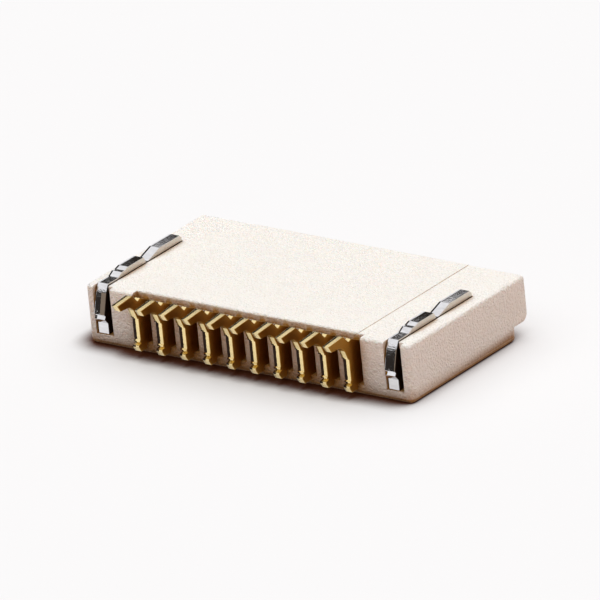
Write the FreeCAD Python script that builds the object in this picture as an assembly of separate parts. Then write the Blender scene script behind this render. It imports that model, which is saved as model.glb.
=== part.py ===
import FreeCAD, Part
import math
import os

# A ten-way flat-cable connector with 0.5 mm pitch and a flip lid at its mouth.
#
# It is drawn as it sits on a circuit board: X runs along the row of contacts, Y from the housing's
# rear face to the mouth where the cable goes in, and Z up from the board, all in millimetres. The
# last step turns it over, because the part is stored lying on its lid side with its solder side up.

# Contact row
WAYS = 10
PITCH = 0.5

# Housing, outside
HOUSING_DEPTH = 3.41
HEIGHT = 1.2                # from the board to the housing's top
STANDOFF = 0.12             # from the board to the housing's underside
CORNER_ROUND = 0.11         # upright corners of the moulding
EDGE_ROUND = 0.06           # its other outer edges
TOP_EDGE_ROUND = 0.1        # the rear and side edges of its top
FIELD_PROUD = 0.01          # the raised middle of the underside
FIELD_LENGTH = 4.58
FRONT_STEP_DEPTH = 0.34     # the step in the side walls beside the lid's front edge
FRONT_STEP_HEIGHT = 0.27
FRONT_STEP_ROUND = 0.15

# Housing, inside
FLOOR = 0.12                # wall between the underside and the contacts
TOP_WALL = 0.2              # wall above the contact slots
FLOOR_SETBACK = 0.15        # the floor's rear edge lies this far inside the rear face
FLOOR_EDGE_ROUND = 0.04
SLOT_WIDTH = 0.36           # contact slots at the rear face
SLOT_DEPTH = 0.62
GROOVE_CLEARANCE = 0.02     # beside a contact, further in
TOP_WALL_REACH = 1.5        # the top wall ends here, at the lid's recess
END_BLOCK = 0.485           # solid block between the last contact slot and the nail slot
END_WALL = 0.165            # side wall beyond the nail slot
BEAM_ROOM = 0.3             # groove in front of a contact's point, for the beam to move in

# Flat cable and mouth
CABLE_THICKNESS = 0.3
CABLE_SIDE_ROOM = 0.04
CABLE_INSERTION = 2.1
MOUTH_FLOOR = 0.3           # height of the surface that the cable slides on
MOUTH_HEIGHT = 0.36
LEAD_IN = 0.09
LEAD_IN_LENGTH = 0.25

# Flip lid
LID_AXIS_Y = 1.95
LID_AXIS_DROP = 0.42        # from the housing's top down to the lid's axis
LID_SHAFT_RADIUS = 0.11
SHAFT_CLEARANCE = 0.03
LID_END_GAP = 0.04
LID_FRONT = 3.22
LID_TOP_GAP = 0.02          # the lid's top lies this far under the housing's top
LID_SLOT_CLEARANCE = 0.05   # beside a contact's hook
LID_HOOK_GAP = 0.04         # in front of a contact's hook
LID_PIN_LENGTH = 0.5        # end pins, beyond the lid's plate
LID_FRONT_BEVEL = 0.1
LID_TOP_ROUND = 0.04

# Contacts
CONTACT_THICKNESS = 0.14
CONTACT_ROOM = 0.01         # above a contact, in its slot
TAIL_REACH = 0.74           # solder tail, behind the rear face
TAIL_FLAT = 0.44            # the length of its straight foot
TAIL_TIP_LIFT = 0.03        # the foot's tip stands this far over the board, for the solder
TAIL_THICKNESS = 0.155      # at its tip
TAIL_END_LEAN = 0.08        # its end face leans in by this much, going up
DIP_REACH = 0.17            # notch between the tail and the lip that enters the housing
DIP_HEIGHT = 0.15
LIP_REACH = 0.1
NECK_REACH = 0.4            # the tail's upper side turns upwards here
NECK_ROUND = 0.15
NECK_SLOPE = 0.1            # height and depth of the slope above that
NOSE_REACH = 0.235          # small stop above the neck
NOSE_HEIGHT = 0.43
BAR_REACH = 0.2             # upright bar, behind the rear face
BAR_STEP = 0.02             # small steps at the bar's two ends
SPUR_REACH = 0.26           # spur at the bar's upper end
SPUR_RISE = 0.08            # how far the spur rises past the slot's top
SPUR_GAP = 0.03             # between the spur and the rear face
ARM_DEPTH = 0.14
HOOK_WIDTH = 0.1
HOOK_OVERHANG = 0.04        # how far the hook's tip reaches below the shaft's centre
ARM_ROOT = 0.38             # from the slot's inner end to the fork between arm and beam
BEAM_THICKNESS = 0.14
BEAM_RISE = 0.06            # gap that opens under the beam towards its tip
BEAM_TIP = 0.18             # beyond the contact point
CONTACT_POINT_Y = 2.62
CONTACT_POINT_Z = 0.44
CONTACT_POINT_DROP = 0.075  # from the contact point down to the beam beside it
FORK_ROUND = 0.1

# Solder nails
NAIL_THICKNESS = 0.225
NAIL_CLEARANCE = 0.015      # beside a nail and in front of it, in its slot
NAIL_SHIFT = 0.05           # both nails sit to one side of their openings
NAIL_OPENING_WIDTH = 0.37   # opening in the rear face round a nail
NAIL_OPENING_DEPTH = 0.12   # as far as this it is open to the board too
NAIL_SLOT_LENGTH = 2.31
NAIL_TOP_WALL = 0.2
NAIL_REAR_LEVEL = 0.09      # the nail's rear stretch, above the board
NAIL_REAR_START = 0.14
NAIL_REAR_END = 0.44
NAIL_STEP_LEVEL = 0.03      # small flat step between it and the first pad
NAIL_STEP_START = 0.55
NAIL_STEP_END = 0.63
PAD_1_START = 0.735         # two pads lie on the board
PAD_1_END = 1.19
PAD_2_START = 1.65
PAD_2_END = 2.24
PAD_DROP = 0.06             # length of the drop behind the first pad
PAD_RAMP = 0.35             # length of the ramp up to the second pad
NAIL_VALLEY = 0.11          # height of the gap between the pads
NAIL_BEAM = 0.34            # height of the nail's lower leg over the board
NAIL_BLOCK = 0.2            # the nail's rear edge, from its top: an upright block
NAIL_BLOCK_INSET = 0.03
NAIL_NOTCH_LOW = 0.295      # then a notch under a ledge
NAIL_NOTCH_HIGH = 0.345
NAIL_HEEL = 0.38            # then the heel, which stands out of the rear face
NAIL_HEEL_REACH = 0.05
NAIL_LEAN_LEVEL = 0.235     # the heel leans in from there to this height over the board
NAIL_LEAN_INSET = 0.06

# What follows from these
ROW_LENGTH = (WAYS - 1) * PITCH
UNDERSIDE = STANDOFF
FLOOR_TOP = UNDERSIDE + FLOOR
SLOT_TOP = HEIGHT - TOP_WALL
CONTACT_TOP = SLOT_TOP - CONTACT_ROOM
MOUTH_TOP = MOUTH_FLOOR + MOUTH_HEIGHT
CABLE_STOP = HOUSING_DEPTH - CABLE_INSERTION
CABLE_WIDTH = (WAYS + 1) * PITCH
FIELD_LEVEL = UNDERSIDE - FIELD_PROUD
MOUTH_HALF = CABLE_WIDTH / 2 + CABLE_SIDE_ROOM
LID_HALF = MOUTH_HALF - LID_END_GAP
LID_TOP = HEIGHT - LID_TOP_GAP
LID_AXIS_Z = HEIGHT - LID_AXIS_DROP
LID_UNDER = LID_AXIS_Z - LID_SHAFT_RADIUS
HOOK_INSIDE = LID_SHAFT_RADIUS + SHAFT_CLEARANCE
HOOK_OUTSIDE = HOOK_INSIDE + HOOK_WIDTH
GROOVE_WIDTH = CONTACT_THICKNESS + 2 * GROOVE_CLEARANCE
BLOCK_INNER = ROW_LENGTH / 2 + SLOT_WIDTH / 2
NAIL_OPENING_INNER = BLOCK_INNER + END_BLOCK
NAIL_OPENING_OUTER = NAIL_OPENING_INNER + NAIL_OPENING_WIDTH
NAIL_OPENING_MIDDLE = (NAIL_OPENING_INNER + NAIL_OPENING_OUTER) / 2
NAIL_SLOT_TOP = HEIGHT - NAIL_TOP_WALL
HOUSING_LENGTH = 2 * (NAIL_OPENING_OUTER + END_WALL)
FAR = 10.0                  # past every outer face, for cutters that run out


def corner_arc(corner, before, after, radius):
    """Start, middle and end of the arc that rounds a corner between its two neighbours."""
    to_before = (before - corner).normalize()
    to_after = (after - corner).normalize()
    half_angle = to_before.getAngle(to_after) / 2
    inward = (to_before + to_after).normalize()
    centre = corner + inward * (radius / math.sin(half_angle))
    run = radius / math.tan(half_angle)
    return corner + to_before * run, centre - inward * radius, corner + to_after * run


def outline(corners):
    """Closed wire in the YZ plane. A corner is (y, z), or (y, z, radius) where it is rounded."""
    points = [FreeCAD.Vector(0, corner[0], corner[1]) for corner in corners]
    edges = []
    stops = []
    for i, corner in enumerate(corners):
        if len(corner) == 2:
            stops.append((points[i], points[i]))
            continue
        start, middle, end = corner_arc(points[i], points[i - 1], points[(i + 1) % len(points)], corner[2])
        edges.append(Part.Arc(start, middle, end).toShape())
        stops.append((start, end))
    for i, (start, end) in enumerate(stops):
        following = stops[(i + 1) % len(stops)][0]
        if end.distanceToPoint(following) > 1e-6:
            edges.append(Part.makeLine(end, following))
    return Part.Wire(Part.__sortEdges__(edges))


def prism(corners, x_low, x_high):
    """An outline in the YZ plane, given its width along X."""
    solid = Part.Face(outline(corners)).extrude(FreeCAD.Vector(x_high - x_low, 0, 0))
    solid.translate(FreeCAD.Vector(x_low, 0, 0))
    return solid


def block(low, high):
    """A box from its lowest to its highest corner."""
    size = [high[i] - low[i] for i in range(3)]
    return Part.makeBox(size[0], size[1], size[2], FreeCAD.Vector(*low))


def rod(radius, x_low, x_high):
    """A cylinder along the lid's axis."""
    start = FreeCAD.Vector(x_low, LID_AXIS_Y, LID_AXIS_Z)
    return Part.makeCylinder(radius, x_high - x_low, start, FreeCAD.Vector(1, 0, 0))


def contact_places():
    """The contacts' places along X."""
    return [-ROW_LENGTH / 2 + PITCH * i for i in range(WAYS)]


def edges_where(solid, test):
    """The solid's edges whose two ends and middle all pass a test."""
    chosen = []
    for edge in solid.Edges:
        middle = edge.valueAt((edge.FirstParameter + edge.LastParameter) / 2)
        if all(test(point) for point in [middle] + [vertex.Point for vertex in edge.Vertexes]):
            chosen.append(edge)
    return chosen


def housing_block():
    """The moulding's outside, with its rounded edges and the step beside the lid's front edge."""
    half = HOUSING_LENGTH / 2
    step_y = HOUSING_DEPTH - FRONT_STEP_DEPTH
    step_z = HEIGHT - FRONT_STEP_HEIGHT
    solid = prism([(0, UNDERSIDE), (HOUSING_DEPTH, UNDERSIDE), (HOUSING_DEPTH, step_z, FRONT_STEP_ROUND),
                   (step_y, step_z), (step_y, HEIGHT, EDGE_ROUND), (0, HEIGHT)], -half, half)
    upright = edges_where(solid, lambda p: abs(abs(p.x) - half) < 1e-6 and abs(p.y) < 1e-6)
    solid = solid.makeFillet(CORNER_ROUND, upright)
    around_top = edges_where(solid, lambda p: abs(p.z - HEIGHT) < 1e-6 and p.y < step_y - EDGE_ROUND - 1e-6)
    solid = solid.makeFillet(TOP_EDGE_ROUND, around_top)
    around_bottom = edges_where(solid, lambda p: abs(p.z - UNDERSIDE) < 1e-6 and p.y < HOUSING_DEPTH - 1e-6)
    return solid.makeFillet(EDGE_ROUND, around_bottom)


def raised_field():
    """The slightly raised middle of the underside."""
    return block((-FIELD_LENGTH / 2, 0, FIELD_LEVEL), (FIELD_LENGTH / 2, HOUSING_DEPTH, FLOOR_TOP))


def floor_setback_cut():
    """What is taken away behind the floor's rounded rear edge."""
    inside = FLOOR_SETBACK + 2 * FLOOR_EDGE_ROUND
    return prism([(-FAR, FLOOR_TOP), (FLOOR_SETBACK, FLOOR_TOP),
                  (FLOOR_SETBACK, FIELD_LEVEL, FLOOR_EDGE_ROUND), (inside, FIELD_LEVEL),
                  (inside, -FAR), (-FAR, -FAR)], -BLOCK_INNER, BLOCK_INNER)


def contact_cavity(x):
    """A contact's room: a wide slot at the rear, then a close groove up to the lid's recess."""
    slot = block((x - SLOT_WIDTH / 2, -FAR, FLOOR_TOP), (x + SLOT_WIDTH / 2, SLOT_DEPTH, SLOT_TOP))
    entry = block((x - SLOT_WIDTH / 2, -FAR, -FAR), (x + SLOT_WIDTH / 2, FLOOR_SETBACK, SLOT_TOP))
    groove = block((x - GROOVE_WIDTH / 2, 0, FLOOR_TOP), (x + GROOVE_WIDTH / 2, TOP_WALL_REACH, SLOT_TOP))
    beam_groove = block((x - GROOVE_WIDTH / 2, 0, FLOOR_TOP),
                        (x + GROOVE_WIDTH / 2, CONTACT_POINT_Y + BEAM_ROOM, MOUTH_TOP))
    return slot.fuse([entry, groove, beam_groove])


def cable_mouth():
    """The space for the cable, with its lead-in at the front."""
    mouth = block((-MOUTH_HALF, CABLE_STOP, MOUTH_FLOOR), (MOUTH_HALF, FAR, MOUTH_TOP))
    ramp = prism([(HOUSING_DEPTH - LEAD_IN_LENGTH, MOUTH_FLOOR), (HOUSING_DEPTH, MOUTH_FLOOR - LEAD_IN),
                  (FAR, MOUTH_FLOOR - LEAD_IN), (FAR, MOUTH_TOP)], -MOUTH_HALF, MOUTH_HALF)
    return mouth.fuse(ramp)


def lid_recess():
    """The space for the lid, open to the top and to the front."""
    return block((-MOUTH_HALF, TOP_WALL_REACH, MOUTH_FLOOR + MOUTH_HEIGHT / 2), (MOUTH_HALF, FAR, FAR))


def nail_middle(side):
    """A nail's middle along X: both nails are shifted the same way."""
    return side * NAIL_OPENING_MIDDLE + NAIL_SHIFT


def nail_slot(side):
    """A nail's close slot through the floor, with a wider opening in the rear face."""
    half = NAIL_THICKNESS / 2 + NAIL_CLEARANCE
    middle = nail_middle(side)
    x_low = side * NAIL_OPENING_MIDDLE - NAIL_OPENING_WIDTH / 2
    x_high = x_low + NAIL_OPENING_WIDTH
    close_slot = block((middle - half, -FAR, -FAR), (middle + half, NAIL_SLOT_LENGTH, NAIL_SLOT_TOP))
    opening = block((x_low, -FAR, -FAR), (x_high, NAIL_OPENING_DEPTH, NAIL_SLOT_TOP))
    room = block((x_low, -FAR, FLOOR_TOP), (x_high, SLOT_DEPTH, NAIL_SLOT_TOP))
    hook_room = rod(HOOK_OUTSIDE + NAIL_CLEARANCE, middle - half, middle + half)
    return close_slot.fuse([opening, room, hook_room])


def pin_notch(side):
    """The notch through which the lid's end pin drops to its seat in a side wall."""
    x_low, x_high = sorted((side * LID_HALF, side * NAIL_OPENING_OUTER))
    shaft_room = block((x_low, LID_AXIS_Y - HOOK_INSIDE, LID_AXIS_Z),
                       (x_high, LID_AXIS_Y + HOOK_INSIDE, FAR))
    return shaft_room.fuse(rod(HOOK_INSIDE, x_low, x_high))


def housing():
    """The insulator, one moulding."""
    cavities = [contact_cavity(x) for x in contact_places()]
    cavities += [cable_mouth(), lid_recess(), floor_setback_cut()]
    for side in (-1, 1):
        cavities += [nail_slot(side), pin_notch(side)]
    return housing_block().fuse(raised_field()).cut(cavities).removeSplitter()


def lid_outline():
    """The lid's section between two hooks: a plate in front of the shaft, flat under the cable."""
    rear = LID_AXIS_Y - LID_SHAFT_RADIUS
    return [(LID_AXIS_Y, LID_UNDER), (LID_FRONT - LID_FRONT_BEVEL, LID_UNDER, EDGE_ROUND),
            (LID_FRONT, LID_UNDER + 2 * LID_FRONT_BEVEL, EDGE_ROUND),
            (LID_FRONT, LID_TOP - LID_FRONT_BEVEL, LID_TOP_ROUND),
            (LID_FRONT - LID_FRONT_BEVEL, LID_TOP, LID_TOP_ROUND),
            (rear, LID_TOP, EDGE_ROUND), (rear, LID_AXIS_Z)]


def lid_slot(x):
    """The window in the lid for one contact's hook."""
    half = CONTACT_THICKNESS / 2 + LID_SLOT_CLEARANCE
    return block((x - half, 0, 0), (x + half, LID_AXIS_Y + HOOK_OUTSIDE + LID_HOOK_GAP, FAR))


def flip_lid():
    """The flip lid: a plate with a comb of windows, and the shaft that joins its teeth."""
    plate = prism(lid_outline(), -LID_HALF, LID_HALF)
    comb = plate.cut([lid_slot(x) for x in contact_places()])
    shaft = rod(LID_SHAFT_RADIUS, -LID_HALF - LID_PIN_LENGTH, LID_HALF + LID_PIN_LENGTH)
    return comb.fuse(shaft).removeSplitter()


def hook(thickness):
    """The hook over the lid's shaft, at the end of a contact's or a nail's upper arm."""
    ring = rod(HOOK_OUTSIDE, -thickness / 2, thickness / 2).cut(rod(HOOK_INSIDE, -FAR, FAR))
    return ring.cut(block((-FAR, 0, 0), (FAR, FAR, LID_AXIS_Z - HOOK_OVERHANG)))


def arm_end(arm_top, rise_y):
    """The last corners of an upper arm, from below the shaft's hook back to its top edge."""
    rear = LID_AXIS_Y - HOOK_OUTSIDE + HOOK_WIDTH / 2
    crest = math.sqrt(HOOK_OUTSIDE ** 2 - (HOOK_OUTSIDE / 4) ** 2)
    return [(rear, arm_top - ARM_DEPTH), (rear, LID_AXIS_Z + HOOK_INSIDE / 2),
            (LID_AXIS_Y - HOOK_OUTSIDE / 4, LID_AXIS_Z + crest), (rise_y, arm_top)]


def contact_front():
    """The spring beam's corners, from the floor to the tip, the contact point and the fork."""
    fork_y = SLOT_DEPTH + ARM_ROOT
    tip_y = CONTACT_POINT_Y + BEAM_TIP
    beam_low = FLOOR_TOP + BEAM_RISE
    beside_point = CONTACT_POINT_Z - CONTACT_POINT_DROP
    return [(FLOOR_SETBACK, FLOOR_TOP), (CABLE_STOP, FLOOR_TOP), (tip_y - 2 * BEAM_TIP, beam_low),
            (tip_y, beam_low, BAR_STEP), (tip_y, beside_point, BAR_STEP),
            (CONTACT_POINT_Y, CONTACT_POINT_Z, FORK_ROUND / 2),
            (CONTACT_POINT_Y - BEAM_TIP, beside_point, FORK_ROUND / 2),
            (fork_y, FLOOR_TOP + BEAM_THICKNESS, FORK_ROUND), (fork_y, CONTACT_TOP - ARM_DEPTH, FORK_ROUND)]


def contact_rear():
    """The corners of the upright bar, from the slot's top down past the nose to the tail's neck."""
    spur_top = SLOT_TOP + SPUR_RISE
    bar_top = SLOT_TOP - SPUR_RISE - BAR_STEP
    slope_y = NECK_REACH - NECK_SLOPE
    return [(-SPUR_GAP, CONTACT_TOP), (-SPUR_GAP, spur_top, BAR_STEP), (-BAR_REACH, spur_top, BAR_STEP),
            (-SPUR_REACH, SLOT_TOP - BAR_STEP), (-SPUR_REACH, bar_top + 2.5 * BAR_STEP),
            (-BAR_REACH + BAR_STEP, bar_top + 1.5 * BAR_STEP), (-BAR_REACH - BAR_STEP, bar_top),
            (-BAR_REACH - BAR_STEP, bar_top - BAR_STEP), (-BAR_REACH, bar_top - 2 * BAR_STEP),
            (-BAR_REACH, NOSE_HEIGHT + 2 * BAR_STEP), (-NOSE_REACH, NOSE_HEIGHT + BAR_STEP),
            (-NOSE_REACH, NOSE_HEIGHT), (-slope_y, TAIL_THICKNESS + NECK_SLOPE + BAR_STEP, NECK_ROUND / 2),
            (-NECK_REACH, TAIL_THICKNESS + BAR_STEP, NECK_ROUND)]


def contact_outline():
    """The blank of a contact, from the tip of its solder tail along the board side and back."""
    tail = [(-TAIL_REACH, TAIL_TIP_LIFT), (-TAIL_REACH + TAIL_FLAT, 0, FORK_ROUND / 2),
            (-DIP_REACH, DIP_HEIGHT, BAR_STEP), (-LIP_REACH, UNDERSIDE)]
    tail_end = [(-TAIL_REACH + TAIL_END_LEAN, TAIL_THICKNESS)]
    return [*tail, *contact_front(), *arm_end(CONTACT_TOP, TOP_WALL_REACH), *contact_rear(), *tail_end]


def contact():
    """One stamped contact, at X = 0."""
    half = CONTACT_THICKNESS / 2
    blank = prism(contact_outline(), -half, half)
    return blank.fuse(hook(CONTACT_THICKNESS)).cut(rod(HOOK_INSIDE, -FAR, FAR)).removeSplitter()


def nail_underside():
    """The corners of a nail's two pads on the board, from its rear stretch to its front end."""
    front = NAIL_SLOT_LENGTH - NAIL_CLEARANCE
    return [(NAIL_REAR_START, NAIL_REAR_LEVEL), (NAIL_REAR_END, NAIL_REAR_LEVEL),
            (NAIL_STEP_START, NAIL_STEP_LEVEL), (NAIL_STEP_END, NAIL_STEP_LEVEL),
            (PAD_1_START, 0), (PAD_1_END, 0, BAR_STEP), (PAD_1_END + PAD_DROP, NAIL_VALLEY, BAR_STEP),
            (PAD_2_START - PAD_RAMP, NAIL_VALLEY, BAR_STEP), (PAD_2_START, 0, BAR_STEP),
            (PAD_2_END, 0), (front, front - PAD_2_END), (front, NAIL_BEAM, BAR_STEP)]


def nail_rear(arm_top):
    """The corners of a nail's rear edge: a block, a notch under a ledge, and the leaning heel."""
    return [(NAIL_BLOCK_INSET, arm_top), (NAIL_BLOCK_INSET, arm_top - NAIL_BLOCK),
            (-NAIL_HEEL_REACH, arm_top - NAIL_NOTCH_LOW),
            (NAIL_BLOCK_INSET - NAIL_HEEL_REACH, arm_top - NAIL_NOTCH_HIGH),
            (-NAIL_HEEL_REACH, arm_top - NAIL_HEEL), (NAIL_LEAN_INSET, NAIL_LEAN_LEVEL)]


def nail_outline():
    """The blank of a solder nail, from its rear corner along the board side and back."""
    arm_top = NAIL_SLOT_TOP - CONTACT_ROOM
    return [*nail_underside(), (SLOT_DEPTH, NAIL_BEAM, FORK_ROUND),
            (SLOT_DEPTH, arm_top - ARM_DEPTH, FORK_ROUND),
            *arm_end(arm_top, LID_AXIS_Y - HOOK_INSIDE + NAIL_CLEARANCE), *nail_rear(arm_top)]


def solder_nail():
    """One stamped solder nail, at X = 0."""
    half = NAIL_THICKNESS / 2
    blank = prism(nail_outline(), -half, half)
    return blank.fuse(hook(NAIL_THICKNESS)).cut(rod(HOOK_INSIDE, -FAR, FAR)).removeSplitter()


def moved(solid, x):
    """A copy of the solid, further along X."""
    copy = solid.copy()
    copy.translate(FreeCAD.Vector(x, 0, 0))
    return copy


def turned_over(solid):
    """The solid as it lies for storage: solder side up, its lid side down, centred on the origin."""
    copy = solid.copy()
    copy.rotate(FreeCAD.Vector(0, 0, 0), FreeCAD.Vector(0, 1, 0), 180)
    copy.translate(FreeCAD.Vector(0, (TAIL_REACH - HOUSING_DEPTH) / 2, HEIGHT))
    return copy


def build():
    """Every piece of the connector by name, as it sits on the board."""
    pieces = {"housing": housing(), "flip_lid": flip_lid()}
    one_contact = contact()
    for number, x in enumerate(reversed(contact_places()), start=1):
        pieces[f"contact_{number:02d}"] = moved(one_contact, x)
    one_nail = solder_nail()
    pieces["solder_nail_left"] = moved(one_nail, nail_middle(1))
    pieces["solder_nail_right"] = moved(one_nail, nail_middle(-1))
    return pieces


def main():
    os.makedirs("parts", exist_ok=True)
    for name, solid in build().items():
        stored = turned_over(solid)
        box = stored.BoundBox
        print(name, "solids", len(stored.Solids), "valid", stored.isValid(), "faces", len(stored.Faces),
              "volume", round(stored.Volume, 4), "box", [round(v, 3) for v in
              (box.XMin, box.YMin, box.ZMin, box.XMax, box.YMax, box.ZMax)])
        stored.exportStep(f"parts/{name}.step")


main()
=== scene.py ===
# %% [markdown]
# A flat-cable connector, lying upside down on a white table.
#
# The part is barely 7 mm long: a pale moulded housing, ten gold-plated contacts in a row, two
# tin-plated solder nails and a dark flip lid that hides underneath. Its solids come from the frame,
# so this lesson is about finish: how a stamped edge catches the light, and why a matt moulding looks
# warm where it turns away from the lamp.

# %% The frame
import math

import bmesh
import bpy
from mathutils import Matrix, Vector


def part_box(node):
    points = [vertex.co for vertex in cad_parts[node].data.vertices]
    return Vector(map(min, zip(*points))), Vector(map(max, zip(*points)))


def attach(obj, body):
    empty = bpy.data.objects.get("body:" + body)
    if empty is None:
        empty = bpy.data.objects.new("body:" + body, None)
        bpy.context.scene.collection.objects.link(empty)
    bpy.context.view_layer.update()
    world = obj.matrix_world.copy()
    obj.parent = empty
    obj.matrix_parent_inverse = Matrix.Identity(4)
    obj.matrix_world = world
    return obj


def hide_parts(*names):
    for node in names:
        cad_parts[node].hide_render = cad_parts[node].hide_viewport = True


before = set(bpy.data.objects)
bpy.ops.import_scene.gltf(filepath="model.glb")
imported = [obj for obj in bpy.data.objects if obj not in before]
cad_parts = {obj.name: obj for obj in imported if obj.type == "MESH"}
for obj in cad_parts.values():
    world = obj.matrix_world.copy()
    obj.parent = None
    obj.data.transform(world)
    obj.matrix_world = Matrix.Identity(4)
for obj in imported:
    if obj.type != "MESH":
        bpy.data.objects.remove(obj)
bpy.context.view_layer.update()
MM = 0.001

# %% [markdown]
# The camera. The photograph is a macro shot from so far away that parallel edges stay parallel, so a
# very long lens stands in for it. The camera looks down at the rear right corner and is turned a
# little about its own line of sight. It is placed by moving it in its own picture plane until the
# middle of the bottom rear edge lands on its pixel, which needs no lens shift.

# %% The camera
IMAGE_SIZE = 600
AZIMUTH = math.radians(38.26)
ELEVATION = math.radians(22.32)
ROLL = math.radians(-5.79)
PIXELS_PER_MM = 58.24
ANCHOR_PIXEL = (251.05, 373.68)
LENS = 1300.0
SENSOR = 36.0
CLIP_SPAN = 20


def camera_axes():
    """The picture's right and up, and the way back from the object to the camera."""
    back = Vector((math.sin(AZIMUTH) * math.cos(ELEVATION), -math.cos(AZIMUTH) * math.cos(ELEVATION),
                   math.sin(ELEVATION)))
    level = Vector((math.cos(AZIMUTH), math.sin(AZIMUTH), 0))
    upright = back.cross(level)
    right = level * math.cos(ROLL) + upright * math.sin(ROLL)
    return right, back.cross(right), back


def make_camera():
    """The photograph's camera, aimed so that the anchor point falls on its pixel."""
    right, up, back = camera_axes()
    anchor = Vector((0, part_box("housing")[0].y, 0))
    to_middle = (IMAGE_SIZE / 2 - ANCHOR_PIXEL[0], ANCHOR_PIXEL[1] - IMAGE_SIZE / 2)
    target = anchor + (right * to_middle[0] + up * to_middle[1]) * (MM / PIXELS_PER_MM)
    distance = LENS / SENSOR * IMAGE_SIZE / PIXELS_PER_MM * MM
    data = bpy.data.cameras.new("photo_camera")
    data.lens = LENS
    data.sensor_width = SENSOR
    data.clip_start = distance / CLIP_SPAN
    data.clip_end = distance * CLIP_SPAN
    camera = bpy.data.objects.new("photo_camera", data)
    bpy.context.scene.collection.objects.link(camera)
    camera.matrix_world = Matrix((right, up, back)).transposed().to_4x4()
    camera.location = target + back * distance
    bpy.context.scene.camera = camera
    return distance


camera_distance = make_camera()
bpy.context.scene.view_settings.view_transform = "Standard"
print("camera distance, mm:", round(camera_distance / MM))

# %% [markdown]
# Node helpers. Materials are built in code, so a few small helpers keep them readable. The first ones
# add a node and set its sockets, feed a socket from another one or with a plain value, and open and
# close a node tree. A shader group gets named sockets, because it is used in more than one material.

# %% Node helpers
def add_node(tree, kind, **settings):
    """A new node. A setting that names a socket sets it, and any other one is a property."""
    node = tree.nodes.new(kind)
    for name, value in settings.items():
        socket = node.inputs.get(name.replace("_", " "))
        if socket is not None:
            socket.default_value = value
        else:
            setattr(node, name, value)
    return node


def join(tree, source, target):
    """A link from one socket to another."""
    tree.links.new(source, target)


def feed(tree, value, target):
    """A socket's value: another socket is linked to it, and anything else is set on it."""
    if isinstance(value, bpy.types.NodeSocket):
        join(tree, value, target)
    else:
        target.default_value = value


def cleared_tree(owner):
    """The empty node tree of a new material or world."""
    owner.use_nodes = True
    owner.node_tree.nodes.clear()
    return owner.node_tree


def finish_tree(tree, shader, kind="ShaderNodeOutputMaterial"):
    """The tree's output node, fed with a shader."""
    join(tree, shader, add_node(tree, kind).inputs["Surface"])


def shader_group(name, inputs, outputs):
    """An empty shader group: inputs are (name, kind, default), and outputs are (name, kind)."""
    tree = bpy.data.node_groups.new(name, "ShaderNodeTree")
    for label, kind, default in inputs:
        tree.interface.new_socket(label, in_out="INPUT", socket_type=kind).default_value = default
    for label, kind in outputs:
        tree.interface.new_socket(label, in_out="OUTPUT", socket_type=kind)
    return tree, tree.nodes.new("NodeGroupInput"), tree.nodes.new("NodeGroupOutput")


# %% [markdown]
# Sums, ranges and blends. These helpers each stand for one node that takes a few inputs and gives one
# output, so that a material can be read as a formula. A Mix node has its sockets once for each kind
# of data, all with the same names, which is why they are found by number. Colours are written as they
# look on a screen, and one more helper turns them into the linear values that a shader takes.

# %% Sums, ranges and blends
MIX_SOCKETS = {"FLOAT": (2, 3, 0), "RGBA": (6, 7, 2)}


def math_node(tree, operation, *operands):
    """A Math node's output. Each operand is a socket or a number."""
    node = add_node(tree, "ShaderNodeMath", operation=operation)
    for socket, value in zip(node.inputs, operands):
        feed(tree, value, socket)
    return node.outputs[0]


def parts_of(tree, vector):
    """The X, Y and Z of a vector."""
    node = add_node(tree, "ShaderNodeSeparateXYZ")
    join(tree, vector, node.inputs[0])
    return node.outputs


def map_range(tree, value, marks, levels, way="LINEAR"):
    """A value that goes from one level to another between two marks, and stays level outside them."""
    node = add_node(tree, "ShaderNodeMapRange", interpolation_type=way)
    join(tree, value, node.inputs["Value"])
    for name, number in zip(("From Min", "From Max", "To Min", "To Max"), marks + levels):
        node.inputs[name].default_value = number
    return node.outputs["Result"]


def blend(tree, kind, factor, first, second):
    """A Mix node's output. Each end is a socket or a plain value."""
    start, end, result = MIX_SOCKETS[kind]
    node = add_node(tree, "ShaderNodeMix", data_type=kind)
    join(tree, factor, node.inputs["Factor"])
    feed(tree, first, node.inputs[start])
    feed(tree, second, node.inputs[end])
    return node.outputs[result]


def blend_colours(tree, factor, first, second):
    """The first colour where the factor is 0, and the second where it is 1."""
    return blend(tree, "RGBA", factor, first, second)


def blend_values(tree, factor, first, second):
    """The first number where the factor is 0, and the second where it is 1."""
    return blend(tree, "FLOAT", factor, first, second)


def mix_shaders(tree, factor, first, second):
    """The first shader where the factor is 0, and the second where it is 1."""
    node = add_node(tree, "ShaderNodeMixShader")
    for socket, source in zip(node.inputs, (factor, first, second)):
        join(tree, source, socket)
    return node.outputs[0]


def add_shaders(tree, first, second):
    """Two shaders added up."""
    node = add_node(tree, "ShaderNodeAddShader")
    join(tree, first, node.inputs[0])
    join(tree, second, node.inputs[1])
    return node.outputs[0]


def linear(red, green, blue):
    """A screen colour of 0 to 255 as the linear colour that a shader takes."""
    def one(value):
        value /= 255
        return value / 12.92 if value <= 0.04045 else ((value + 0.055) / 1.055) ** 2.4
    return (one(red), one(green), one(blue), 1.0)


# %% [markdown]
# The studio. A tent of white light hangs above the table. It is a little brighter behind the part
# than in front of it, which is why the two faces that look at the camera are darker than the top. The
# world does that with the direction of the ray. Rays that go straight to the camera, or to it by way
# of metal, see plain white, so the background stays white however the light is set.

# %% The light tent
BACKGROUND = linear(250, 249, 250)
TENT_COLOUR = (1.0, 0.995, 0.985, 1.0)
TENT_LIGHT = 1.71
HORIZON_LIGHT = 0.05
BACK_SHARE = 0.35
TENT_FOOT = math.radians(24)
TENT_FULL = math.radians(42)


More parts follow.
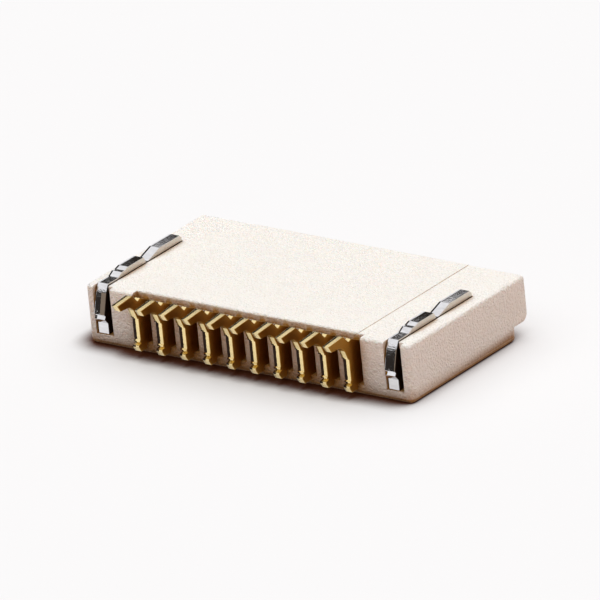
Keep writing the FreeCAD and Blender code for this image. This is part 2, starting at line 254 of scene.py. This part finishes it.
def seen_directly(tree):
    """1 for rays that show a thing to the camera, by itself or in metal or glass, and 0 for light."""
    ray = add_node(tree, "ShaderNodeLightPath")
    shown = math_node(tree, "MAXIMUM", ray.outputs["Is Camera Ray"], ray.outputs["Is Glossy Ray"])
    return math_node(tree, "MAXIMUM", shown, ray.outputs["Is Transmission Ray"])


def make_world():
    """White light from above, a dim horizon, and a plain white background."""
    world = bpy.data.worlds.new("light_tent")
    bpy.context.scene.world = world
    tree = cleared_tree(world)
    direction = parts_of(tree, add_node(tree, "ShaderNodeTexCoord").outputs["Generated"])
    rise = map_range(tree, direction["Z"], (math.sin(TENT_FOOT), math.sin(TENT_FULL)),
                     (HORIZON_LIGHT, TENT_LIGHT), "SMOOTHSTEP")
    behind = math_node(tree, "ADD", math_node(tree, "MULTIPLY", direction["Y"], BACK_SHARE), 1.0)
    tent = add_node(tree, "ShaderNodeBackground", Color=TENT_COLOUR)
    join(tree, math_node(tree, "MULTIPLY", rise, behind), tent.inputs["Strength"])
    plain = add_node(tree, "ShaderNodeBackground", Color=BACKGROUND, Strength=1.0)
    both = mix_shaders(tree, seen_directly(tree), tent.outputs[0], plain.outputs[0])
    finish_tree(tree, both, "ShaderNodeOutputWorld")


make_world()
print("tent of light from", round(math.degrees(TENT_FOOT)), "degrees up")

# %% [markdown]
# The table is white paper with the part's shadow on it. The light that it throws back at the part is
# kept low and warm, which gives the housing's sides their tan. Close to the part the paper gets a
# painted shadow of deep brown, from an Ambient Occlusion node leaning away from the lamp. Seen from
# below it is clear, and where the part touches it, it lights the part's underside softly, as a sheet
# of glass over a lamp would.

# %% The paper
TABLE_SHARE = 0.83
TABLE_GLOW = 0.25
TABLE_BOUNCE = (0.67, 0.485, 0.41, 1.0)
SHADOW_COLOUR = linear(84, 46, 28)
SHADOW_BOUNCE = linear(50, 24, 16)
SHADOW_REACH = 0.47 * MM
BOUNCE_REACH = 1.1 * MM
SHADOW_LEAN = (0.5, 0.35, 0.8)
TOUCH_REACH = 0.01 * MM
TOUCH_GLOW = 0.75
COVERED_UP_TO = 0.43


def contact_openness(tree, reach):
    """0 where the part stands close over the table, rising to 1 a little way out."""
    lean = add_node(tree, "ShaderNodeCombineXYZ", X=SHADOW_LEAN[0], Y=SHADOW_LEAN[1], Z=SHADOW_LEAN[2])
    cover = add_node(tree, "ShaderNodeAmbientOcclusion", Distance=reach)
    join(tree, lean.outputs[0], cover.inputs["Normal"])
    return map_range(tree, cover.outputs["AO"], (COVERED_UP_TO, 1.0), (0.0, 1.0), "SMOOTHSTEP")


def seen_paper(tree):
    """The paper as it looks: white, partly by its own glow, with painted brown shadow near the part."""
    mirrored = add_node(tree, "ShaderNodeLightPath").outputs["Is Glossy Ray"]
    openness = math_node(tree, "MAXIMUM", contact_openness(tree, SHADOW_REACH), mirrored)
    lit_colour = tuple(channel * (1 - TABLE_GLOW) * TABLE_SHARE for channel in BACKGROUND[:3]) + (1.0,)
    matt = add_node(tree, "ShaderNodeBsdfDiffuse")
    # Painted shadow: the paper's colour turns deep brown where the part stands close over it.
    join(tree, blend_colours(tree, openness, SHADOW_COLOUR, lit_colour), matt.inputs["Color"])
    glow = add_node(tree, "ShaderNodeEmission", Color=BACKGROUND)
    join(tree, math_node(tree, "MULTIPLY", openness, TABLE_GLOW), glow.inputs["Strength"])
    return add_shaders(tree, matt.outputs[0], glow.outputs[0])


def lighting_paper(tree):
    """The paper as a source of light: dim and warm, and bright only where the part touches it."""
    bounce = add_node(tree, "ShaderNodeBsdfDiffuse")
    openness = contact_openness(tree, BOUNCE_REACH)
    join(tree, blend_colours(tree, openness, SHADOW_BOUNCE, TABLE_BOUNCE), bounce.inputs["Color"])
    touched = math_node(tree, "SUBTRACT", 1.0, contact_openness(tree, TOUCH_REACH))
    under = add_node(tree, "ShaderNodeEmission", Color=BACKGROUND)
    join(tree, math_node(tree, "MULTIPLY", touched, TOUCH_GLOW), under.inputs["Strength"])
    return add_shaders(tree, bounce.outputs[0], under.outputs[0])


def table_material():
    """The sheet of paper, which is clear from below."""
    material = bpy.data.materials.new("white_table")
    tree = cleared_tree(material)
    paper = mix_shaders(tree, seen_directly(tree), lighting_paper(tree), seen_paper(tree))
    from_below = add_node(tree, "ShaderNodeNewGeometry").outputs["Backfacing"]
    clear = add_node(tree, "ShaderNodeBsdfTransparent").outputs[0]
    finish_tree(tree, mix_shaders(tree, from_below, paper, clear))
    return material


PAPER = table_material()
print("paper:", PAPER.name)

# %% [markdown]
# The sheet itself is one large face. It lies a hair under the part, since two faces in one plane would
# flicker.

# %% The table
TABLE_SIZE = 0.4
TABLE_DROP = 0.002 * MM


def place_on_stage(mesh, material):
    """A mesh as a new object with its material."""
    thing = bpy.data.objects.new(mesh.name, mesh)
    bpy.context.scene.collection.objects.link(thing)
    mesh.materials.append(material)
    return thing


def make_table():
    """The table: one large face, a hair below the height that the part lies on."""
    mesh = bpy.data.meshes.new("table")
    half = TABLE_SIZE / 2
    corners = ((-half, -half), (half, -half), (half, half), (-half, half))
    mesh.from_pydata([(x, y, -TABLE_DROP) for x, y in corners], [], [(0, 1, 2, 3)])
    return place_on_stage(mesh, PAPER)


table = make_table()
print("table, mm:", round(TABLE_SIZE / MM), "wide, with", len(table.data.polygons), "face")

# %% [markdown]
# A band of dark cloth hangs round the table, from just above it up to where the tent begins. Only
# reflections see it, and it is why the flat tops of the nails look black while their slopes flash
# white. Bright metal shows nothing but its surroundings, so it is the surroundings that get drawn.

# %% The dark band
BAND_RADIUS = 0.15
BAND_FOOT = 0.026 * BAND_RADIUS
BAND_EDGE = 0.376 * BAND_RADIUS
BAND_SLOPE = 0.115
BAND_FADE = 0.03 * BAND_RADIUS
BAND_SIDES = 96
BAND_COLOUR = (0.03, 0.025, 0.022, 1.0)


def band_material():
    """Dark cloth that fades out at its upper edge, which hangs lower on the camera's side."""
    material = bpy.data.materials.new("dark_cloth")
    tree = cleared_tree(material)
    place = parts_of(tree, add_node(tree, "ShaderNodeTexCoord").outputs["Object"])
    level = math_node(tree, "SUBTRACT", place["Z"], math_node(tree, "MULTIPLY", place["Y"], BAND_SLOPE))
    fade = map_range(tree, level, (BAND_EDGE - BAND_FADE, BAND_EDGE + BAND_FADE), (0.0, 1.0), "SMOOTHSTEP")
    dark = add_node(tree, "ShaderNodeEmission", Color=BAND_COLOUR, Strength=1.0)
    clear = add_node(tree, "ShaderNodeBsdfTransparent")
    finish_tree(tree, mix_shaders(tree, fade, dark.outputs[0], clear.outputs[0]))
    return material


def make_dark_band():
    """The band: a ring of cloth that only reflections see."""
    top = BAND_EDGE + BAND_SLOPE * BAND_RADIUS + BAND_FADE
    ring = bmesh.new()
    bmesh.ops.create_cone(ring, segments=BAND_SIDES, radius1=BAND_RADIUS, radius2=BAND_RADIUS,
                          depth=top - BAND_FOOT)
    bmesh.ops.translate(ring, verts=ring.verts, vec=(0, 0, (top + BAND_FOOT) / 2))
    mesh = bpy.data.meshes.new("dark_band")
    ring.to_mesh(mesh)
    ring.free()
    band = place_on_stage(mesh, band_material())
    band.visible_camera = False
    band.visible_diffuse = False
    band.visible_transmission = False
    band.visible_volume_scatter = False
    band.visible_shadow = False
    return top


band_top = make_dark_band()
print("dark band, mm: from", round(BAND_FOOT / MM, 1), "to", round(band_top / MM, 1))

# %% [markdown]
# A fine grain and a soft mottle turn up in every finish here: in the spark-eroded mould's matt skin,
# in the rolled strip that the contacts are stamped from, and in the tin. One shader group makes both
# from Object coordinates, which stay with the piece when it moves. The sizes are in millimetres.

# %% The grain group
NOISE_DETAIL = {"Grain": 2.0, "Mottle": 3.0}
NOISE_ROUGHNESS = 0.55


def make_grain():
    """Group: grain from 0 to 1 for a bump, and mottle from 0 to 1 for colour and roughness."""
    tree, inlet, outlet = shader_group(
        "grain",
        [("Grain size mm", "NodeSocketFloat", 0.03), ("Mottle size mm", "NodeSocketFloat", 0.5),
         ("Stretch", "NodeSocketVector", (1.0, 1.0, 1.0))],
        [("Grain", "NodeSocketFloat"), ("Mottle", "NodeSocketFloat")])
    place = add_node(tree, "ShaderNodeTexCoord")
    stretched = add_node(tree, "ShaderNodeVectorMath", operation="MULTIPLY")
    join(tree, place.outputs["Object"], stretched.inputs[0])
    join(tree, inlet.outputs["Stretch"], stretched.inputs[1])
    for label, detail in NOISE_DETAIL.items():
        noise = add_node(tree, "ShaderNodeTexNoise", Detail=detail, Roughness=NOISE_ROUGHNESS)
        join(tree, stretched.outputs[0], noise.inputs["Vector"])
        per_metre = math_node(tree, "DIVIDE", 1 / MM, inlet.outputs[f"{label} size mm"])
        join(tree, per_metre, noise.inputs["Scale"])
        join(tree, noise.outputs[0], outlet.inputs[label])
    return tree


GRAIN = make_grain()
print("grain group:", [item.name for item in GRAIN.interface.items_tree])

# %% [markdown]
# Every finish starts from a Principled shader, places the grain group with its own sizes, and takes
# colour, roughness and relief from it. A noise seldom reaches 0 or 1, so its middle range is spread
# out first. The relief is a Bump node, whose depth is given in millimetres.

# %% What every finish needs
NOISE_RANGE = (0.3, 0.7)


def new_material(name):
    """A material, its tree with nothing in it but a Principled shader, and that shader."""
    material = bpy.data.materials.new(name)
    tree = cleared_tree(material)
    shader = add_node(tree, "ShaderNodeBsdfPrincipled")
    finish_tree(tree, shader.outputs[0])
    return material, tree, shader


def place_grain(tree, grain_mm, mottle_mm, stretch=(1.0, 1.0, 1.0)):
    """The grain group in a material, with its own sizes."""
    node = add_node(tree, "ShaderNodeGroup", node_tree=GRAIN)
    node.inputs["Grain size mm"].default_value = grain_mm
    node.inputs["Mottle size mm"].default_value = mottle_mm
    node.inputs["Stretch"].default_value = stretch
    return node


def spread(tree, value, low, high):
    """A noise's middle range stretched to run from low to high."""
    return map_range(tree, value, NOISE_RANGE, (low, high))


def add_bump(tree, shader, height, depth_mm, strength, normal=None):
    """Small relief: the height mask, this many millimetres deep, over a normal if one is given."""
    bump = add_node(tree, "ShaderNodeBump", Strength=strength, Distance=depth_mm * MM)
    join(tree, height, bump.inputs["Height"])
    if normal is not None:
        join(tree, normal, bump.inputs["Normal"])
    join(tree, bump.outputs["Normal"], shader.inputs["Normal"])


# %% [markdown]
# The housing is a pale ivory polymer that stands soldering heat. It is slightly translucent, so light
# that enters the top leaks out warm at the sides: subsurface scattering gives that, with red
# travelling furthest. Light that bounces about in its slots and corners turns brown; that is painted
# shade in the colour, from an Ambient Occlusion node, save on the faces that the part lies on, and
# its golden tint paints in light thrown off the gold contacts. The mould is spark-eroded, which
# leaves a matt skin with a fine speckle.

# %% The ivory moulding
IVORY_COLOURS = (linear(249, 244, 239), linear(250, 247, 242))
IVORY_SPECK = linear(226, 211, 196)
SPECK_SHARE = 0.35
# Painted shade: the golden brown that slots and corners turn, tinted by light off the gold.
IVORY_SHADE = linear(168, 120, 60)
SHADE_REACH = 0.42 * MM
SHADE_MARKS = (0.45, 0.9)
LOOKS_DOWN = -0.9
IVORY_GRAIN = (0.042, 0.6)
IVORY_ROUGHNESS = (0.66, 0.5)
IVORY_RELIEF = (0.05, 1.0)
IVORY_GLOSS = 0.3
LEAK_SHARE = 0.12
LEAK_DEPTH = 0.2 * MM
LEAK_COLOURS = (1.0, 0.62, 0.42)


def lit_share(tree):
    """Painted shade: 0 deep in a slot or corner, 1 out in the open and on faces that look straight down."""
    cover = add_node(tree, "ShaderNodeAmbientOcclusion", Distance=SHADE_REACH)
    openness = map_range(tree, cover.outputs["AO"], SHADE_MARKS, (0.0, 1.0))
    facing = parts_of(tree, add_node(tree, "ShaderNodeNewGeometry").outputs["True Normal"])
    resting = math_node(tree, "LESS_THAN", facing["Z"], LOOKS_DOWN)
    return math_node(tree, "MAXIMUM", openness, resting)


def make_ivory():
    """Pale translucent moulding: matt spark-eroded skin, a fine darker speckle, painted shade in slots."""
    material, tree, shader = new_material("ivory_moulding")
    grain = place_grain(tree, *IVORY_GRAIN)
    tone = blend_colours(tree, spread(tree, grain.outputs["Mottle"], 0.0, 1.0), *IVORY_COLOURS)
    speck = spread(tree, grain.outputs["Grain"], SPECK_SHARE, 0.0)
    skin = blend_colours(tree, speck, tone, IVORY_SPECK)
    # Painted shade: the colour turns golden brown in the slots and corners.
    join(tree, blend_colours(tree, lit_share(tree), IVORY_SHADE, skin), shader.inputs["Base Color"])
    join(tree, spread(tree, grain.outputs["Grain"], *IVORY_ROUGHNESS), shader.inputs["Roughness"])
    shader.inputs["Subsurface Weight"].default_value = LEAK_SHARE
    shader.inputs["Subsurface Radius"].default_value = LEAK_COLOURS
    shader.inputs["Subsurface Scale"].default_value = LEAK_DEPTH
    shader.inputs["Specular IOR Level"].default_value = IVORY_GLOSS
    add_bump(tree, shader, grain.outputs["Grain"], *IVORY_RELIEF)
    return material


IVORY = make_ivory()
print("housing finish:", IVORY.name)

# %% [markdown]
# The lid is the same family of polymer, filled with carbon black. Its mould is smoother, so it has a
# satin look with hardly any relief.

# %% The black moulding
BLACK_COLOURS = (linear(34, 32, 31), linear(46, 44, 42))
BLACK_GRAIN = (0.03, 0.4)
BLACK_ROUGHNESS = (0.42, 0.58)
BLACK_RELIEF = (0.003, 0.7)


def make_black():
    """Dark filled moulding of the lid, with a satin skin."""
    material, tree, shader = new_material("black_moulding")
    grain = place_grain(tree, *BLACK_GRAIN)
    tone = spread(tree, grain.outputs["Mottle"], 0.0, 1.0)
    join(tree, blend_colours(tree, tone, *BLACK_COLOURS), shader.inputs["Base Color"])
    join(tree, spread(tree, grain.outputs["Grain"], *BLACK_ROUGHNESS), shader.inputs["Roughness"])
    add_bump(tree, shader, grain.outputs["Grain"], *BLACK_RELIEF)
    return material


BLACK = make_black()
print("lid finish:", BLACK.name)

# %% [markdown]
# Stamped metal. A punch first cuts a clean, bright band into the strip, and the rest of the thickness
# tears off and stays dull. Plating follows both. So each upright cut edge shows two bands side by
# side, and the torn band's dark colour is painted dark reflection over that real dullness. The strip's
# own rolled faces are a third finish, deeper in colour, and where a blank sits inside the housing they
# get a dark colour of painted shade. The punch also drags the strip's skin over the edge on its own
# side, the -X side here: this die roll is a soft round up to half the thickness wide.
#
# All this is told apart by the way a face looks and by where a point lies across its blank, because
# the blanks stand on edge with their thickness along X. The three helpers find that place across the
# blank, the torn band and the die roll. A shader group then puts them together for gold and tin.

# %% Torn bands and die rolls
TORN_RANGE = 0.1
TEAR_SCALE = 25 / MM
TEAR_DEPTH = 0.01
ROLL_LIMIT = 0.5


def across_blank(tree, along_x, sizes):
    """How far a point lies from the middle of its own blank, in millimetres."""
    from_first = math_node(tree, "SUBTRACT", along_x, sizes["First blank mm"])
    half_pitch = math_node(tree, "MULTIPLY", sizes["Pitch mm"], 0.5)
    return math_node(tree, "WRAP", from_first, half_pitch, math_node(tree, "MULTIPLY", half_pitch, -1.0))


def torn_dark_reflection_band(tree, place, across, cut_edge, rise, sizes):
    """1 on the torn side of a cut edge that stands as steeply as the sizes say, with a ragged border.
    This torn band gets a colour of painted dark reflection.
    """
    noise = add_node(tree, "ShaderNodeTexNoise", Scale=TEAR_SCALE, Detail=1.0)
    join(tree, place, noise.inputs["Vector"])
    ragged = math_node(tree, "MULTIPLY", math_node(tree, "SUBTRACT", noise.outputs[0], 0.5), 2 * TEAR_DEPTH)
    line = math_node(tree, "MULTIPLY", math_node(tree, "ADD", across, ragged), sizes["Torn side"])
    torn_dark_reflection = math_node(tree, "GREATER_THAN", line, sizes["Split mm"])
    upright = math_node(tree, "COMPARE", math_node(tree, "ABSOLUTE", rise), sizes["Torn facing"], TORN_RANGE)
    return math_node(tree, "MULTIPLY", torn_dark_reflection, math_node(tree, "MULTIPLY", cut_edge, upright))


def die_roll(tree, across, cut_edge, facing_up, normal, sizes):
    """The shading normal of a cut edge whose -X side the punch dragged round."""
    past = math_node(tree, "SUBTRACT", math_node(tree, "MULTIPLY", across, -1.0), sizes["Roll from mm"])
    turn = math_node(tree, "MINIMUM", math_node(tree, "DIVIDE", past, sizes["Roll mm"]), ROLL_LIMIT)
    rolls = math_node(tree, "MULTIPLY", cut_edge,
                      math_node(tree, "GREATER_THAN", facing_up, sizes["Roll facing"]))
    turn = math_node(tree, "MULTIPLY", math_node(tree, "MAXIMUM", turn, 0.0), rolls)
    rest = math_node(tree, "SQRT", math_node(tree, "SUBTRACT", 1.0, math_node(tree, "MULTIPLY", turn, turn)))
    kept = add_node(tree, "ShaderNodeVectorMath", operation="SCALE")
    join(tree, normal, kept.inputs[0])
    join(tree, rest, kept.inputs["Scale"])
    away = add_node(tree, "ShaderNodeCombineXYZ")
    join(tree, math_node(tree, "MULTIPLY", turn, -1.0), away.inputs["X"])
    rolling = add_node(tree, "ShaderNodeVectorMath", operation="ADD")
    join(tree, kept.outputs[0], rolling.inputs[0])
    join(tree, away.outputs[0], rolling.inputs[1])
    return rolling.outputs[0]


# %% The stamping group
ROLLED_FACING = 0.6


def make_stamping():
    """Group: masks for torn bands with painted dark reflection, for rolled faces and for painted shade
    below a height, and the die roll's normal.
    """
    tree, inlet, outlet = shader_group(
        "stamping",
        [("First blank mm", "NodeSocketFloat", 0.0), ("Pitch mm", "NodeSocketFloat", 1.0),
         ("Split mm", "NodeSocketFloat", 0.0), ("Torn side", "NodeSocketFloat", 1.0),
         ("Torn facing", "NodeSocketFloat", 0.0), ("Painted shade below mm", "NodeSocketFloat", 0.0),
         ("Roll from mm", "NodeSocketFloat", 0.0), ("Roll mm", "NodeSocketFloat", 0.07),
         ("Roll facing", "NodeSocketFloat", -1.0)],
        [("Torn with dark reflection", "NodeSocketFloat"), ("Rolled", "NodeSocketFloat"), ("Painted shade", "NodeSocketFloat"),
         ("Normal", "NodeSocketVector")])
    sizes = inlet.outputs
    place = add_node(tree, "ShaderNodeTexCoord").outputs["Object"]
    geometry = add_node(tree, "ShaderNodeNewGeometry").outputs
    facing = parts_of(tree, geometry["True Normal"])
    position = parts_of(tree, place)
    across = across_blank(tree, math_node(tree, "MULTIPLY", position["X"], 1 / MM), sizes)
    cut_edge = math_node(tree, "LESS_THAN", math_node(tree, "ABSOLUTE", facing["X"]), ROLLED_FACING)
    rolled = math_node(tree, "SUBTRACT", 1.0, cut_edge)
    height = math_node(tree, "MULTIPLY", position["Z"], 1 / MM)
    # Painted shade goes on rolled faces below this height.
    inside = math_node(tree, "LESS_THAN", height, sizes["Painted shade below mm"])
    join(tree, torn_dark_reflection_band(tree, place, across, cut_edge, facing["Z"], sizes), outlet.inputs["Torn with dark reflection"])
    join(tree, rolled, outlet.inputs["Rolled"])
    join(tree, math_node(tree, "MULTIPLY", rolled, inside), outlet.inputs["Painted shade"])
    join(tree, die_roll(tree, across, cut_edge, facing["Z"], geometry["Normal"], sizes),
         outlet.inputs["Normal"])
    return tree


STAMPING = make_stamping()
print("stamping group:", [item.name for item in STAMPING.interface.items_tree])

# %% [markdown]
# One routine makes both platings, gold and tin. It lays the four colours over each other: the bright
# cut band with a faint mottle first, then the rolled faces, the painted shade on rolled faces below a
# height and the torn band with its painted dark reflection. The grain is drawn out along X, through
# the thickness, as the punch's stroke leaves it.

# %% Plated metal
METAL_GRAIN = (0.025, 0.1, (0.35, 1.0, 1.0))
METAL_RELIEF = (0.002, 0.6)
MOTTLE_SHADE = 0.85
POLISH_RANGE = (0.8, 1.25)


def plated_metal(name, colours, roughness, blanks):
    """Plating over stamped blanks: colours of cut and rolled metal, of the torn band with painted dark
    reflection and of painted shade below a height; three roughnesses.
    """
    cut, rolled, torn_dark_reflection, painted_shade_colour = colours
    material, tree, shader = new_material(name)
    shader.inputs["Metallic"].default_value = 1.0
    stamping = add_node(tree, "ShaderNodeGroup", node_tree=STAMPING)
    for label, value in blanks.items():
        stamping.inputs[label].default_value = value
    grain = place_grain(tree, *METAL_GRAIN)
    tone = spread(tree, grain.outputs["Mottle"], 0.0, 1.0)
    darker = tuple(channel * MOTTLE_SHADE for channel in cut[:3]) + (1.0,)
    plating = blend_colours(tree, tone, darker, cut)
    plating = blend_colours(tree, stamping.outputs["Rolled"], plating, rolled)
    # Painted shade: rolled faces below the set height get a dark colour.
    plating = blend_colours(tree, stamping.outputs["Painted shade"], plating, painted_shade_colour)
    # Painted dark reflection: the torn band gets a dark colour.
    plating = blend_colours(tree, stamping.outputs["Torn with dark reflection"], plating, torn_dark_reflection)
    join(tree, plating, shader.inputs["Base Color"])
    rough = spread(tree, grain.outputs["Mottle"], *(roughness[0] * share for share in POLISH_RANGE))
    rough = blend_values(tree, stamping.outputs["Rolled"], rough, roughness[1])
    rough = blend_values(tree, stamping.outputs["Torn with dark reflection"], rough, roughness[2])
    join(tree, rough, shader.inputs["Roughness"])
    add_bump(tree, shader, grain.outputs["Grain"], *METAL_RELIEF, stamping.outputs["Normal"])
    return material


# %% [markdown]
# Softened copies. The frame's meshes are loose triangles with razor edges. A real moulding or blank
# has a tiny radius everywhere, and that radius is what draws the bright lines round a small part.
# So each node gets a copy: its vertices are merged, flat faces are joined up, the sharp edges get a
# narrow bevel, and weighted normals keep the flats flat while the rounds shade smoothly.

# %% Softened copies
FLAT_ANGLE = math.radians(1.0)
SHARP_ANGLE = math.radians(28)
MERGE_DISTANCE = 0.0005 * MM
CIRCLE_PROFILE = 0.5
WIDEST_FACE = 4
FLATS_WEIGHT = 100


def merged_copy(node):
    """A bmesh of a node: doubles merged and flat faces joined."""
    soft = bmesh.new()
    soft.from_mesh(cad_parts[node].data)
    bmesh.ops.remove_doubles(soft, verts=soft.verts, dist=MERGE_DISTANCE)
    bmesh.ops.dissolve_limit(soft, angle_limit=FLAT_ANGLE, verts=soft.verts, edges=soft.edges)
    return soft


def sharp_edges(soft):
    """Edges where two faces meet sharply."""
    return [edge for edge in soft.edges
            if len(edge.link_faces) == 2 and edge.calc_face_angle() >= SHARP_ANGLE]


def round_off(soft, edges, radius_mm, segments):
    """A narrow round along the given edges."""
    bmesh.ops.bevel(soft, geom=edges, offset=radius_mm * MM, offset_type="OFFSET", segments=segments,
                    profile=CIRCLE_PROFILE, affect="EDGES", clamp_overlap=True)


def applied(piece):
    """The piece with its modifiers turned into plain mesh."""
    graph = bpy.context.evaluated_depsgraph_get()
    mesh = bpy.data.meshes.new_from_object(piece.evaluated_get(graph))
    piece.modifiers.clear()
    piece.data = mesh
    return piece


def as_piece(soft, name, material, crease):
    """The finished bmesh as an object. Edges that turn by more than the crease angle stay crisp."""
    mesh = bpy.data.meshes.new(name)
    bmesh.ops.triangulate(soft, faces=[face for face in soft.faces if len(face.verts) > WIDEST_FACE])
    for face in soft.faces:
        face.smooth = True
    for edge in soft.edges:
        edge.smooth = len(edge.link_faces) == 2 and edge.calc_face_angle() < crease
    soft.to_mesh(mesh)
    soft.free()
    piece = bpy.data.objects.new(name, mesh)
    bpy.context.scene.collection.objects.link(piece)
    mesh.materials.append(material)
    weighted = piece.modifiers.new("flat_flats", "WEIGHTED_NORMAL")
    weighted.keep_sharp = True
    weighted.weight = FLATS_WEIGHT
    return applied(piece)


# %% [markdown]
# The housing and the lid are the two mouldings. Their copies get a radius of about a hundredth of a
# millimetre, which is what a steel mould leaves at an edge that nobody rounded on purpose.

# %% The mouldings
MOULD_RADIUS = 0.012
MOULD_SEGMENTS = 2
MOULD_CREASE = math.radians(50)


def softened(node, name, material):
    """A softened copy of a moulding that takes its node's place."""
    soft = merged_copy(node)
    round_off(soft, sharp_edges(soft), MOULD_RADIUS, MOULD_SEGMENTS)
    piece = as_piece(soft, name, material, MOULD_CREASE)
    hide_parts(node)
    return piece


housing = softened("housing", "housing_moulding", IVORY)
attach(housing, "connector")
lid = softened("flip_lid", "lid_moulding", BLACK)
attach(lid, "lid")
print("mouldings:", len(housing.data.polygons), len(lid.data.polygons), "faces")

# %% [markdown]
# The contacts are ten copies of one stamping, so one is finished by hand and the rest are a rule.
# Its rim is rounder on the punch's side and crisp on the other. The gold is deeper in colour on the
# strip's rolled faces, and nearly black on the torn band, where the metal tore, as painted dark reflection.

# %% One contact
CONTACT_NODES = sorted(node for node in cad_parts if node.startswith("contact_"))
DRAGGED_ROUND = (0.012, 3)
CRISP_ROUND = (0.006, 1)
STAMPED_CREASE = math.radians(14)
# The third gold colour, nearly black, is painted dark reflection on the torn band.
GOLD_COLOURS = (linear(255, 232, 172), linear(186, 136, 56), linear(46, 28, 16), linear(186, 136, 56))
GOLD_ROUGHNESS = (0.22, 0.34, 0.5)
GOLD_BANDS = {"Torn side": -1.0, "Roll from mm": 0.01, "Roll mm": 0.06, "Roll facing": -1.0}


def middle_x(node):
    """A node's middle along the row."""
    low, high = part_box(node)
    return (low.x + high.x) / 2


def stamped_copy(node, name, material):
    """A blank with a dragged round on its -X side and a crisp edge on the other."""
    soft = merged_copy(node)
    low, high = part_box(node)
    for outer_x, (radius_mm, segments) in ((low.x, DRAGGED_ROUND), (high.x, CRISP_ROUND)):
        rims = [edge for edge in sharp_edges(soft)
                if all(abs(vert.co.x - outer_x) < MERGE_DISTANCE for vert in edge.verts)]
        round_off(soft, rims, radius_mm, segments)
    return as_piece(soft, name, material, STAMPED_CREASE)


FIRST_CONTACT = middle_x(CONTACT_NODES[0])
PITCH = (middle_x(CONTACT_NODES[-1]) - FIRST_CONTACT) / (len(CONTACT_NODES) - 1)
GOLD = plated_metal("gold_plating", GOLD_COLOURS, GOLD_ROUGHNESS,
                    {"First blank mm": FIRST_CONTACT / MM, "Pitch mm": PITCH / MM, **GOLD_BANDS})
one_contact = stamped_copy(CONTACT_NODES[0], "one_contact", GOLD)
print("one contact:", len(one_contact.data.polygons), "faces; pitch, mm:", round(PITCH / MM, 3))

# %% [markdown]
# Geometry Nodes set the ten along the row. The tree takes the number of ways, the pitch and the
# material as named inputs. It ends in Realize Instances and Set Material, because instances have no
# mesh of their own to hand on. The result is then taken over as one plain mesh.

# %% The row of contacts
def make_row_tree():
    """Geometry Nodes: copies of a blank at even places along X, as plain geometry."""
    tree = bpy.data.node_groups.new("contact_row", "GeometryNodeTree")
    for label, kind in (("Geometry", "NodeSocketGeometry"), ("Ways", "NodeSocketInt"),
                        ("Pitch", "NodeSocketFloat"), ("Finish", "NodeSocketMaterial")):
        tree.interface.new_socket(label, in_out="INPUT", socket_type=kind)
    tree.interface.new_socket("Geometry", in_out="OUTPUT", socket_type="NodeSocketGeometry")
    inlet = tree.nodes.new("NodeGroupInput")
    outlet = tree.nodes.new("NodeGroupOutput")
    line = add_node(tree, "GeometryNodeMeshLine", mode="OFFSET")
    step = add_node(tree, "ShaderNodeCombineXYZ")
    copies = add_node(tree, "GeometryNodeInstanceOnPoints")
    plain = add_node(tree, "GeometryNodeRealizeInstances")
    finish = add_node(tree, "GeometryNodeSetMaterial")
    join(tree, inlet.outputs["Ways"], line.inputs["Count"])
    join(tree, inlet.outputs["Pitch"], step.inputs["X"])
    join(tree, step.outputs[0], line.inputs["Offset"])
    join(tree, line.outputs[0], copies.inputs["Points"])
    join(tree, inlet.outputs["Geometry"], copies.inputs["Instance"])
    join(tree, copies.outputs[0], plain.inputs[0])
    join(tree, plain.outputs[0], finish.inputs["Geometry"])
    join(tree, inlet.outputs["Finish"], finish.inputs["Material"])
    join(tree, finish.outputs[0], outlet.inputs[0])
    return tree


def set_input(modifier, name, value):
    """A Geometry Nodes modifier's input, found by its name and set by its identifier."""
    for item in modifier.node_group.interface.items_tree:
        if item.name == name and item.in_out == "INPUT":
            modifier[item.identifier] = value


def make_row(blank, name):
    """The whole row from one blank, as one mesh."""
    row = blank.modifiers.new("row", "NODES")
    row.node_group = make_row_tree()
    set_input(row, "Ways", len(CONTACT_NODES))
    set_input(row, "Pitch", PITCH)
    set_input(row, "Finish", GOLD)
    applied(blank)
    blank.name = name
    blank.data.name = name
    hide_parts(*CONTACT_NODES)
    return blank


contacts = make_row(one_contact, "contact_row")
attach(contacts, "connector")
print("row of contacts:", len(contacts.data.polygons), "faces")

# %% [markdown]
# The solder nails are stamped from thicker strip and tinned, which stays bright and nearly mirror
# smooth. They are two, at odd places, so they are simply made one by one with the same routine. The
# spacing that the masks get is wider than the part, so that each nail is the only blank in reach.
# Of their cut edges, only those that lean a little from upright show a torn band, and it starts
# nearer to the middle on the left nail. That band's darker colour is painted dark reflection, and
# the rolled faces below the housing's top get painted shade.

# %% The solder nails
# Tin: the third colour is painted dark reflection on the torn band, the fourth painted shade.
TIN_COLOURS = (linear(238, 238, 240), linear(214, 206, 196), linear(150, 134, 118), linear(74, 62, 56))
TIN_ROUGHNESS = (0.05, 0.38, 0.5)
TIN_BANDS = {"Torn facing": 0.276, "Roll from mm": 0.05, "Roll mm": 0.065, "Roll facing": 0.5}
NAIL_SPACING = 10.0
TORN_FROM = {"left": 0.01, "right": 0.09}
housing_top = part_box("housing")[1].z
for side, torn_from in TORN_FROM.items():
    nail_node = f"solder_nail_{side}"
    tin = plated_metal(f"tin_plating_{side}", TIN_COLOURS, TIN_ROUGHNESS,
                       {"First blank mm": middle_x(nail_node) / MM, "Pitch mm": NAIL_SPACING,
                        "Split mm": torn_from, "Painted shade below mm": housing_top / MM, **TIN_BANDS})
    nail = stamped_copy(nail_node, f"nail_{side}", tin)
    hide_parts(nail_node)
    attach(nail, "connector")
    print("nail:", side, len(nail.data.polygons), "faces")
